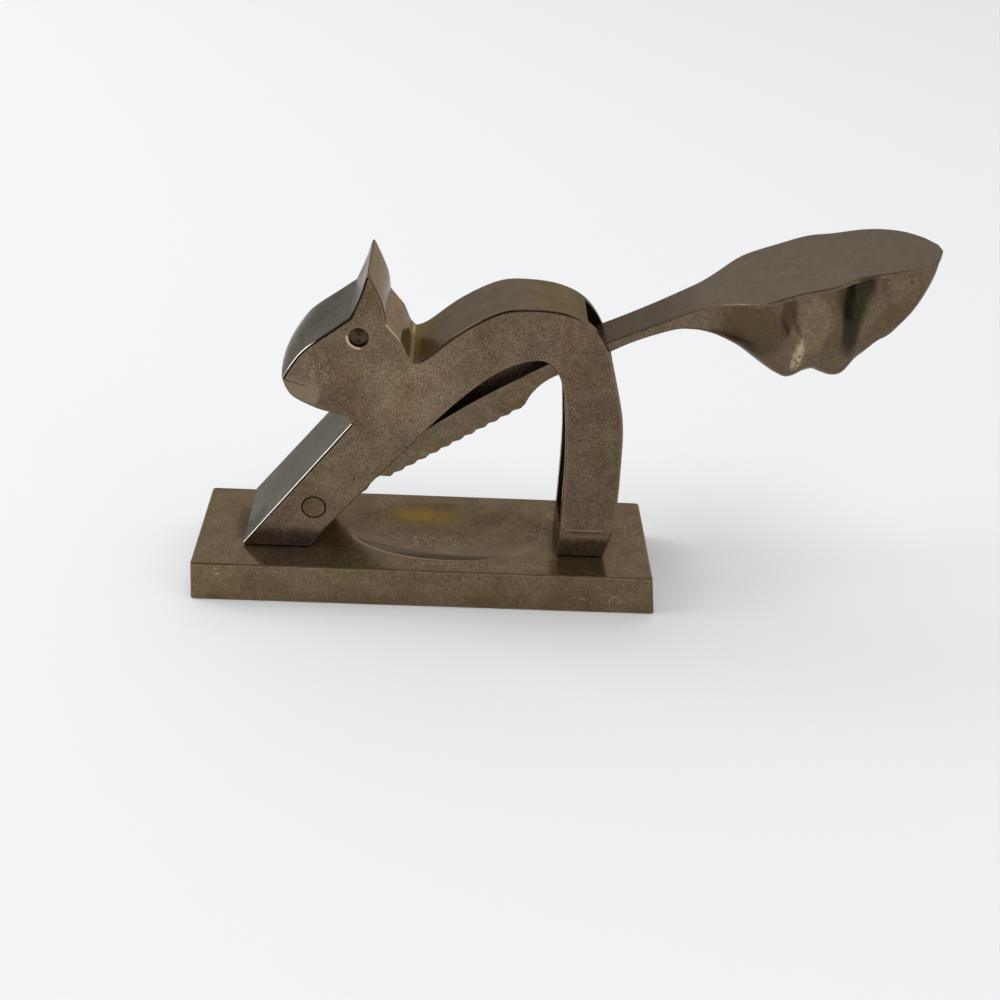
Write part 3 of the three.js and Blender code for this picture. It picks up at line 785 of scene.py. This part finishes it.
# The figure
def figure_outline():
    return outline_of(
        [(-51.4, SOLE), (-33.4, SOLE)],
        # up the back of the front leg, under the belly and down the inside of the rear leg
        [(-32.2, 12.9), (-27.4, 19.4), (-13.2, 36.6), (2.8, 55), (13.1, 65.3), (21.3, 70.9), (28.7, 72.9),
         (33, 70.3), (35.5, 64.1), (36.9, 52.9), (37.6, 40.4), (37.6, 24.2), (37.4, SOLE)],
        [(50.6, SOLE)],
        # up the back of the rear leg, over the rump and along the back to the neck
        [(52.3, 18.4), (53.2, 28.8), (53.1, 41.1), (52.4, 54.5), (49.8, 66.2), (46.6, 76.1), (41.6, 83.3),
         (34.9, 86.8), (26.4, 87.7), (17.6, 86.5), (7.5, 80.6), (-1.4, 72.9), (-4.7, 71.2)],
        # the fold behind the head and its step
        [(-6.2, 72.5), (-7.1, 74.5), (-8.2, 77.1)],
        [(-12, 81.5)],
        # up the back of the ear to its tip, and down its front
        [(-12.9, 87), (-16.2, 94.4), (-16.8, 94.9), (-17.3, 94.3), (-18.7, 89.8), (-21.4, 83.2)],
        # the brow down to the nose
        [(-25.2, 80.2), (-33.1, 73.9), (-36.9, 69.1), (-39.3, 64.9)],
        # under the chin to the throat, then straight down the leading face
        [(-38.3, 62), (-36, 59.2), (-29.4, 56), (-22.2, 54.3), (-21.2, 52)],
        [(-51.8, SOLE + 0.6)],
    )


# The ends and floors of the space inside the figure, and how far its round end leans from upright
SLOT_END = 40.5
SLOT_RUMP = 60
SLOT_TOP = 95
SLOT_LEAN = 0.62
FRONT_SLOT_FLOOR = 19.8
REAR_SLOT_FLOOR = 21


def slot_outline():
    """The space inside the figure: round the boss, under the back and out at the rump."""
    roof = [(SLOT_END, 81.4), (36, 83.2), (30, 84.2), (24, 83), (17, 79), (10, 71.5), (2, 61), (-8, 51)]
    corners = [(PIVOT.x, FRONT_SLOT_FLOOR), (34, FRONT_SLOT_FLOOR), (34, REAR_SLOT_FLOOR),
               (SLOT_RUMP, REAR_SLOT_FLOOR), (SLOT_RUMP, SLOT_TOP), (SLOT_END, SLOT_TOP)]
    boss = arc(PIVOT, BOSS_RADIUS + 1.5 * GAP, math.pi / 2 + SLOT_LEAN, 1.5 * math.pi)
    return [Vector(p) for p in corners] + run_through(roof) + boss[:-1]


# The brow bulges round the muzzle, between the throat and the ear
MUZZLE = Vector((-33, 67))
MUZZLE_REACH = 15
BROW_CROWN = 1.8
BROW_BACK = -20
BROW_BOTTOM = 55


def crowned(place):
    """The front of the head bulges a little between its two sides."""
    nearness = (far_face(place.x) - place.y) / (far_face(place.x) - NEAR_FACE)
    across = 4 * nearness * (1 - nearness)
    reach = smoothstep(MUZZLE_REACH - (Vector((place.x, place.z)) - MUZZLE).length, 0, MUZZLE_REACH)
    front = 1 if place.x < BROW_BACK and place.z > BROW_BOTTOM else 0
    return Vector((place.x - BROW_CROWN * across * reach * front, place.y, place.z))


# The eye from its middle out: (radius, depth under the face)
EYE = Vector((-19.1, 77.7))
EYE_RELIEF = [(0.02, 0.22), (0.3, 0.2), (0.5, 0.3), (0.7, 0.18), (0.95, 0.3), (1.2, 0.17), (1.45, 0.3),
              (1.7, 0.2), (1.95, 0.34), (2.2, 0.5), (2.45, 0.6), (2.6, 0.5), (2.7, 0.22), (2.9, 0.12),
              (3.2, 0.05), (3.5, -0.02)]


def eye_cutter(y, outward):
    """A turned cutter that leaves a ringed, domed eye in a groove. Its back is clear of the face."""
    centre = Vector((EYE.x, y, EYE.y))
    lean = math.atan(FAR_FACE_TAPER) if outward > 0 else 0
    turn = Matrix.Rotation(-lean, 3, "Z")
    rings = []
    for radius, depth in [*EYE_RELIEF, (3.6, -1.5), (0.02, -1.5)]:
        rings.append([centre + turn @ Vector((p.x, -outward * depth, p.y)) for p in circle((0, 0), radius)])
    return new_object("eye", skin(rings))


# The mouth, as a line on the side of the head
MOUTH = [(-39.9, 65.2), (-38.6, 64.9), (-37.4, 64.3), (-36.4, 64.2), (-35.2, 63.6), (-33.8, 63.3),
         (-32.4, 62.6)]
MOUTH_WIDTH = 0.22
MOUTH_DEPTH = 0.2
MOUTH_END = 0.3


def mouth_cutter(face, outward):
    """A thin three-sided bar along the mouth on one side of the head, with a finer end."""
    rings = []
    for index, (x, z) in enumerate(MOUTH):
        ahead = Vector(MOUTH[min(index + 1, len(MOUTH) - 1)]) - Vector(MOUTH[max(index - 1, 0)])
        aside = Vector((-ahead.y, ahead.x)).normalized() * MOUTH_WIDTH
        spread = MOUTH_END if index == len(MOUTH) - 1 else 1.0
        out = face(x) + outward * MOUTH_WIDTH
        rings.append([(x + aside.x * spread, out, z + aside.y * spread),
                      (x - aside.x * spread, out, z - aside.y * spread),
                      (x, face(x) - outward * MOUTH_DEPTH * spread, z)])
    return new_object("groove", skin(rings))


# The pin's bore in the figure is a little wider at the near face, which shows the pin's rim
BORE_MOUTH_WIDER = 0.12
BORE_MOUTH_DEPTH = 0.4
FIGURE_ROUND = 0.7
FIGURE_SLICES = 8


def make_figure(materials):
    plate = rounded_plate(figure_outline(), near_face, far_face, FIGURE_ROUND, FIGURE_SLICES, crowned)
    figure = new_object("figure", plate, materials)
    cut(figure, bar_along_y(slot_outline(), LEVER_NEAR - GAP, LEVER_FAR + GAP), INSIDE)
    bore = PIN_RADIUS + GAP
    cut(figure, bar_along_y(circle(PIVOT, bore), NEAR_FACE - OVERRUN, far_face(PIVOT.x) + OVERRUN), INSIDE)
    mouth = circle(PIVOT, bore + BORE_MOUTH_WIDER)
    cut(figure, bar_along_y(mouth, NEAR_FACE - OVERRUN, NEAR_FACE + BORE_MOUTH_DEPTH), INSIDE)
    cut(figure, screw_hole(FRONT_SCREW, FRONT_HOLE_TOP), INSIDE)
    cut(figure, screw_hole(REAR_SCREW, REAR_HOLE_TOP), INSIDE)
    cut(figure, eye_cutter(NEAR_FACE, -1), EYES)
    cut(figure, eye_cutter(far_face(EYE.x), 1), EYES)
    cut(figure, mouth_cutter(near_face, -1), EYES)
    cut(figure, mouth_cutter(far_face, 1), EYES)
    return figure


# The lever: the toothed jaw and the stem, then the tail
STEM_CUT = 40
JAW_ROUND = 0.3
JAW_LEAN = 0.58
TOOTH_COUNT = 12
FIRST_TIP = Vector((-10.3, 34.9))
TOOTH_STEP = Vector((3.17, 2.07))
TOOTH_RISE = Vector((1.0, 1.25))
# A tooth's tip is flattened and bevelled by these shares of the step and the rise
TIP_FLAT = 0.06
TIP_BEVEL = 0.12


def jaw_outline():
    boss = arc(PIVOT, BOSS_RADIUS, math.pi / 2 + JAW_LEAN, 1.5 * math.pi + JAW_LEAN)
    lead = run_through([(-17, 30.2), (-15.3, 33.2), (-13.3, 34.9)])
    teeth = []
    for i in range(TOOTH_COUNT):
        tip = FIRST_TIP + TOOTH_STEP * i
        teeth += [tip - TOOTH_STEP * TIP_FLAT, tip + TOOTH_RISE * TIP_BEVEL, tip + TOOTH_RISE]
    under = run_through([tuple(teeth[-1]), (27, 61.9), (29.5, 65), (33, 67.6), (STEM_CUT, 71)])
    over = run_through([(STEM_CUT, 75.4), (30.4, 70.8), (13.3, 60.2), (5.4, 54.7), (-6, 46.4)])
    return boss + lead + teeth + under[1:] + over


tail_top = height_over([
    (38, 74.4), (45, 77.6), (52.6, 81.2), (60.6, 85.1), (68.6, 89.1), (76.6, 92.7), (84.6, 95.7),
    (92.6, 98.7), (100.6, 101.2), (108.6, 103.4), (119, 105.2), (TAIL_END, 106),
])
tail_half_width = height_over([
    (38, 6.65), (52.6, 6.7), (60.6, 7.1), (68.6, 7.9), (72.6, 9.1), (76.6, 11.7), (80.6, 15), (84.6, 17.1),
    (92.6, 17.4), (100.6, 18.1), (107, 16), (116, 15.4), (124, 12.6), (128.5, 8), (TAIL_END, 2.5),
])
tail_depth = height_over([
    (38, 4.8), (45, 3.6), (52.6, 2.9), (60.6, 3.4), (64.6, 4.3), (68.6, 6.5), (72.6, 9.3), (76.6, 12.5),
    (81, 16.5), (85, 21), (89, 25.5), (92, 28.5), (95.5, 31), (98.5, 30), (101.5, 30), (104.5, 32),
    (107.5, 33.7), (110, 33.5), (112.5, 30), (115.5, 28), (118.5, 25.5), (121.5, 23.5), (124.5, 19),
    (128, 11.5), (TAIL_END, 4),
])
# How far the brush stands back under the leaf's edge, and how square its section is. 2 is an ellipse
tail_recess = height_over([(38, 0), (66, 0), (74, 0.4), (84, 1.4), (92, 1.8), (TAIL_END, 0.6)])
tail_squareness = height_over([(38, 12), (60, 12), (70, 5), (80, 2.7), (92, 2.3), (TAIL_END, 2.2)])
LEAF_EDGE = 1.3


# The relief of the brush: lines that run down its side, each at a place along X for how far down it is
def tuft_border(down):
    return 83.4 + 22 * down - 11 * down ** 2


def groove_line(down):
    return 89.1 + 10.5 * min(down, 0.45) + 7.5 * max(down - 0.45, 0)


def crease_line(down):
    return 96.9 + 17.2 * down


def hollow_line(down):
    return 108.4 + 9 * down


def last_tuft_line(down):
    return 119 + 5 * down


def hump(off, width):
    return math.exp(-((off / width) ** 2))


def tail_relief(x, down):
    """How far the side of the brush stands out at a place, against its plain section."""
    from_groove = x - groove_line(down)
    from_crease = x - crease_line(down)
    from_hollow = x - hollow_line(down)
    facet = -0.9 * smoothstep(x - tuft_border(down), 0, 1.6) * (1 - smoothstep(from_groove, -0.6, 2))
    groove_width = 1.0 + 0.9 * max(1 - (down / 0.48) ** 2, 0)
    groove = -0.8 * (1 - smoothstep(down, 0.36, 0.56)) * hump(from_groove, groove_width)
    rib = 1.2 * smoothstep(down, 0.4, 0.55) * hump(from_groove, 1.2)
    fall = -2.4 * smoothstep(from_crease, 0, 6) * (1 - smoothstep(from_hollow, 4, 9))
    edge = 0.5 * hump(from_crease, 0.9)
    hollow = -3.8 * hump(from_hollow, 4.2)
    last = -1.2 * hump(x - last_tuft_line(down), 2.6)
    return facet + groove + rib + fall + edge + hollow + last


TAIL_SIDE_STEPS = 44


def tail_section(x):
    """A ring of points round the tail at a place along X, up one side and down the other."""
    lip = min(LEAF_EDGE, tail_depth(x) * 0.4)
    top = tail_top(x)
    half = tail_half_width(x)
    drop = tail_depth(x) - lip
    wide = half - tail_recess(x)
    power = 2 / tail_squareness(x)
    side = [(0, top - lip - drop)]
    for i in range(1, TAIL_SIDE_STEPS + 1):
        angle = i / TAIL_SIDE_STEPS * math.pi / 2
        down = max(math.cos(angle), 0) ** power
        out = wide * math.sin(angle) ** power
        relief = tail_relief(x, down) * math.sin(angle) * min(1, out / 6)
        side.append((max(out + relief, 0.3), top - lip - drop * down))
    under = min(0.1, tail_recess(x))
    # the rounded edge of the leaf, then its flat top
    side += [(half - under, top - lip * 0.9), (half, top - lip * 0.6), (half - 0.08, top - lip * 0.25),
             (half - 0.3, top - 0.03), (half - 0.6, top)]
    side += [(half * 0.6, top - 0.03), (half * 0.3, top - 0.03)]
    ring = [(x, LEVER_MIDDLE + y, z) for y, z in side]
    ring.append((x, LEVER_MIDDLE, top))
    ring += [(x, LEVER_MIDDLE - y, z) for y, z in side[:0:-1]]
    return ring


def tail_places():
    """Where the tail's sections are along X, closer where the relief is and closest at the end."""
    places = []
    x = STEM_CUT - 1
    while x < TAIL_END - 3:
        places.append(x)
        x += 0.8 if x < 70 else 0.4
    return places + [TAIL_END - short for short in (2.6, 2, 1.4, 0.9, 0.5, 0.2, 0)]


def make_lever(materials):
    jaw = rounded_plate(jaw_outline(), lambda x: LEVER_NEAR, lambda x: LEVER_FAR, JAW_ROUND)
    lever = new_object("lever", jaw, materials)
    tail = new_object("tail", skin([tail_section(x) for x in tail_places()]))
    cut(lever, tail, FACES, "UNION")
    bore = circle(PIVOT, PIN_RADIUS + GAP)
    cut(lever, bar_along_y(bore, LEVER_NEAR - OVERRUN, LEVER_FAR + OVERRUN), FACES)
    return lever


# The base plate, whose sides lean in to the size of its top. TOP_SHIFT moves the top along X
BASE_CORNER = 0.9
BASE_ROUND = 0.5
BASE_LENGTH_STEPS = 72
BASE_WIDTH_STEPS = 24
TOP_LENGTH = 129.2
TOP_WIDTH = 41.2
TOP_SHIFT = -0.5
DISH = Vector((6.5, 0.7))
DISH_HALF = Vector((29, 15.4))
DISH_DEPTH = 3
DISH_SOFTNESS = 0.015


def rounded_rectangle(length, width, radius, shift):
    """Points round a rectangle with rounded corners, close-set along its sides too."""
    points = []
    for index, (sx, sy) in enumerate(((1, -1), (1, 1), (-1, 1), (-1, -1))):
        centre = (shift + sx * (length / 2 - radius), sy * (width / 2 - radius))
        turn = (index - 1) * math.pi / 2
        points += arc(centre, radius, turn, turn + math.pi / 2, 5)
        side, count = (length, BASE_LENGTH_STEPS) if index % 2 else (width, BASE_WIDTH_STEPS)
        ahead = Vector((-math.sin(turn + math.pi / 2), math.cos(turn + math.pi / 2)))
        start = points[-1]
        points += [start + ahead * (side - 2 * radius) * k / count for k in range(1, count)]
    return points


def base_ring(z, inward):
    """The plate's outline at a height, drawn in by some amount."""
    lean = z / BASE_HEIGHT
    size = base_high - base_low
    length = size.x + (TOP_LENGTH - size.x) * lean - 2 * inward
    width = size.y + (TOP_WIDTH - size.y) * lean - 2 * inward
    outline = rounded_rectangle(length, width, max(BASE_CORNER - inward, 0.2), TOP_SHIFT * lean)
    return [(p.x, p.y, z) for p in outline]


def dish_drop(reach):
    """How deep the hollow is at a share of the way from its middle to its rim, with a softened rim."""
    inside = 1 - reach ** 2
    return DISH_DEPTH * 0.5 * (inside + math.sqrt(inside ** 2 + DISH_SOFTNESS ** 2))


# The hollow's rings as shares of the way to its rim: close-set at the rim, then even steps to the middle
RIM_REACHES = [1.12, 1.08, 1.05, 1.03, 1.015, 1.0, 0.985, 0.97, 0.95]
INNER_REACHES = [0.92 - 0.04 * k for k in range(23)]


def dish_rings(edge):
    """Rings over the top of the plate, from its edge to the hollow and down to the hollow's middle."""
    def toward(p, reach):
        """A place on the way from the hollow's middle to an edge point. At 1 it is on the rim."""
        way = p - DISH
        rim = way / math.hypot(way.x / DISH_HALF.x, way.y / DISH_HALF.y)
        return DISH + rim * reach

    widest = RIM_REACHES[0]
    rings = [[(*p.lerp(toward(p, widest), share), BASE_HEIGHT) for p in edge] for share in (0.35, 0.7)]
    for reach in RIM_REACHES + INNER_REACHES:
        level = BASE_HEIGHT if reach == widest else BASE_HEIGHT - dish_drop(reach)
        rings.append([(*toward(p, reach), level) for p in edge])
    return rings


def make_base(materials):
    bottom = [base_ring(depth, inward) for inward, depth in rounding(BASE_ROUND)]
    top = [base_ring(BASE_HEIGHT - depth, inward) for inward, depth in reversed(rounding(BASE_ROUND))]
    dish = dish_rings([Vector(p[:2]) for p in top[-1]])
    bands = [EDGES] * ROUND_STEPS + [FACES] + [EDGES] * ROUND_STEPS + [FACES] * len(dish)
    base = new_object("base", skin(bottom + top + dish, bands), materials)
    cut(base, screw_hole(FRONT_SCREW, BASE_HOLE_TOP), INSIDE)
    cut(base, screw_hole(REAR_SCREW, BASE_HOLE_TOP), INSIDE)
    return base


make_camera()
# The figure's, base's and lever's marks paint light and shade into their colours, besides tarnish and wear
figure_brass = old_brass("figure_brass_old_and_painted_light", "6e5c4c", "6c5f49", "69523f", marks=FIGURE_MARKS)
figure_edge = old_brass("figure_edge_worn_and_painted_highlights", "7a6853", "73664d", "6c5a45", roughness=0.13, sandy=0.4,
                        marks=[painted_highlights_on_figure_edges])
base_brass = old_brass("base_brass_old_and_painted_light", "665542", "64573e", "5e4935", roughness=0.18, sandy=0.8,
                       marks=BASE_MARKS, edge_tint=BASE_EDGE_TINT)
base_edge = old_brass("base_edge_worn_and_painted_reflection", *WORN_EDGE, roughness=0.13, sandy=0.3, marks=[painted_reflection_on_base_edge])
lever_brass = old_brass("lever_brass_old_and_painted_light", "6c5d4c", "6a5e47", "63503c", roughness=0.24, sandy=0.75,
                        marks=LEVER_MARKS)
edge_brass = old_brass("edge_brass_worn", *WORN_EDGE, roughness=0.13, sandy=0.3)
# The inside of the cuts: dull cast brass, made darker still as painted shade inside the slot, bore and
# holes
inner_brass = old_brass("inner_brass_dull_and_painted_shade", "382414", "2f1f11", "26180d", roughness=0.45, sandy=0.5)
eye_brass = old_brass("eye_brass_dark_with_painted_light", "52432f", "483c2a", "3e3324", sandy=0.4, marks=[eye_rings])
finished(make_figure([figure_brass, figure_edge, inner_brass, eye_brass]), "figure", "squirrel_body")
finished(make_base([base_brass, base_edge, inner_brass]), "figure", "base_plate")
finished(make_lever([lever_brass, edge_brass]), "lever", "tail_lever")
for node, made in (
    ("pivot_pin", old_brass("pin_brass_old", "66553f", "5f503c", "4a3d2e")),
    ("front_foot_screw", steel("screw_steel_plain")),
    ("rear_foot_screw", steel("screw_steel_plain_rear")),
):
    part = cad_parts[node]
    part.data.materials.clear()
    part.data.materials.append(made)


# The stage and the light, in metres
FLOOR_HALF = 6.0
FLOOR_COLOUR = (0.88, 0.88, 0.88, 1)


def make_stage():
    corners = [(sx * FLOOR_HALF, sy * FLOOR_HALF, 0) for sx, sy in ((-1, -1), (1, -1), (1, 1), (-1, 1))]
    bm = bmesh.new()
    bm.faces.new([bm.verts.new(c) for c in corners])
    s = Shader("floor_pale")
    shader = s.node("ShaderNodeBsdfDiffuse")
    shader.inputs["Color"].default_value = FLOOR_COLOUR
    s.end("ShaderNodeOutputMaterial", shader)
    new_object("floor", bm, [s.material])


# How bright the room is at its horizon and above it, and how much of that its dark part takes away
HORIZON_LEVEL = 0.68
ROOM_LEVEL = 0.84
DARK_SHARE = 0.93


def make_world():
    """A pale room, duller at its horizon, with a dark part high behind the camera for the metal to show."""
    world = bpy.data.worlds.new("room")
    bpy.context.scene.world = world
    s = Nodes(world)
    x, y, z = s.parts(s.node("ShaderNodeTexCoord").outputs["Generated"])
    width = s.between(s.math("ABSOLUTE", x), 0.68, 0.5)
    dark = s.times(s.between(y, -0.08, -0.25), width, s.between(z, 0.26, 0.42))
    light = s.math("SUBTRACT", 1.0, s.times(dark, DARK_SHARE))
    background = s.node("ShaderNodeBackground")
    background.inputs["Color"].default_value = (1, 1, 1, 1)
    s.feed(background.inputs["Strength"], s.times(s.between(z, 0.0, 0.2, HORIZON_LEVEL, ROOM_LEVEL), light))
    s.end("ShaderNodeOutputWorld", background)


def make_lamp(name, place, target, size, power, colour=(1, 1, 1)):
    data = bpy.data.lights.new(name, "AREA")
    data.shape = "RECTANGLE"
    data.size, data.size_y = size
    data.energy = power
    data.color = colour
    lamp = bpy.data.objects.new(name, data)
    bpy.context.scene.collection.objects.link(lamp)
    lamp.location = place
    lamp.rotation_mode = "QUATERNION"
    lamp.rotation_quaternion = (Vector(target) - Vector(place)).to_track_quat("-Z", "Y")


make_stage()
make_world()
make_lamp("key", place=(0.3, -0.8, 2.8), target=(0, 0, 0.05), size=(1.6, 1.6), power=20)
make_lamp("window", place=(-2.2, 0.3, 1.1), target=(0, 0, 0.06), size=(1.7, 1.9), power=34,
          colour=(0.9, 0.95, 1.0))

bpy.context.scene.view_settings.view_transform = "Standard"
